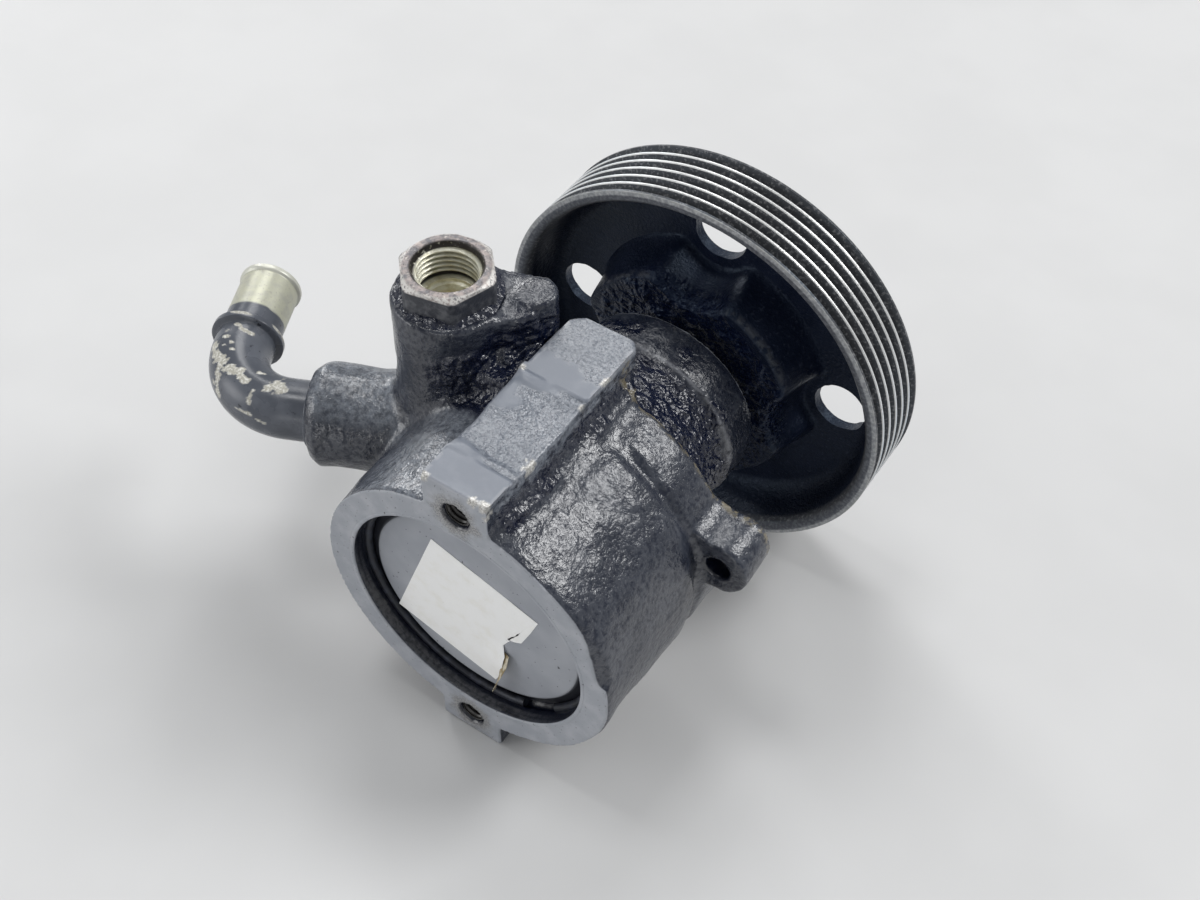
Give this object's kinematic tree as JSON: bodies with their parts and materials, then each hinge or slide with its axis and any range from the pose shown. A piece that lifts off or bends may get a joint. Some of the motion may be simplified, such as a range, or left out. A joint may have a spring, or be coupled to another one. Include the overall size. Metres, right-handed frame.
{
  "type": "power steering pump",
  "caption": "Vane-type hydraulic steering pump: cast barrel housing with mounting rail, dished ribbed belt pulley, hexagon outlet union and bent suction tube.",
  "frame": {"origin": "centre of the machined rear face, on the shaft axis, midway between the two threaded holes", "axes": "+Y along the drive shaft towards the pulley, +Z towards the mounting rail, +X to the side ear"},
  "size_m": [0.1716, 0.1228, 0.124],
  "materials": {
    "cast_black": "black paint over rough casting, oily, chipped at edges",
    "pulley_black": "black paint with bright worn rib tips",
    "machined_steel": "machined",
    "cover_grey": "smooth grey satin",
    "spring_steel": "dark oiled spring steel",
    "bronze": "sintered bronze",
    "seal_rubber": "matte",
    "union_steel": "phosphated, worn bright",
    "tube_black": "black paint, chipped, bare zinc spigot"
  },
  "bodies": {
    "housing": {"pump_housing": "cast_black", "shaft_bush": "bronze", "shaft_seal": "seal_rubber", "bearing_outer_race": "machined_steel", "bearing_retaining_ring": "spring_steel", "thrust_plate": "machined_steel", "cam_ring": "machined_steel", "dowel_pins": "machined_steel", "pressure_plate": "machined_steel", "pressure_plate_seal": "seal_rubber", "pressure_plate_spring": "spring_steel", "end_cover": "cover_grey", "end_cover_seal": "seal_rubber", "end_cover_retaining_ring": "spring_steel", "flow_control_spring": "spring_steel", "outlet_union": "union_steel", "outlet_union_seal": "seal_rubber", "suction_tube": "tube_black"},
    "rotating_group": {"drive_shaft": "machined_steel", "pulley": "pulley_black", "rotor": "machined_steel", "vanes": "machined_steel", "rotor_retaining_ring": "spring_steel", "bearing_inner_race": "machined_steel"},
    "ball_set": {"bearing_balls": "machined_steel", "bearing_cage": "bronze"},
    "control_spool": {"flow_control_spool": "machined_steel", "relief_plug": "machined_steel", "relief_spring": "spring_steel"},
    "relief_poppet": {"relief_ball": "machined_steel", "relief_ball_guide": "machined_steel"}
  },
  "joints": [
    {"name": "pulley_spin", "type": "hinge", "parent": "housing", "child": "rotating_group", "pos_m": [0, 0.1, 0], "axis": [0, 1, 0], "continuous": true},
    {"name": "ball_set_spin", "type": "hinge", "parent": "housing", "child": "ball_set", "pos_m": [0, 0.082, 0], "axis": [0, 1, 0], "continuous": true},
    {"name": "spool_slide", "type": "slide", "parent": "housing", "child": "control_spool", "axis": [0, 0, -1], "range_m": [0, 0.008], "stiffness_N_per_m": 3000, "springref_m": -0.006, "deforming": ["flow_control_spring"]},
    {"name": "relief_lift", "type": "slide", "parent": "control_spool", "child": "relief_poppet", "axis": [0, 0, -1], "range_m": [0, 0.0008], "stiffness_N_per_m": 1000, "springref_m": -0.004, "deforming": ["relief_spring"]}
  ],
  "couplings": [
    {"joint": "ball_set_spin", "follows": "pulley_spin", "ratio": 0.38158}
  ]
}
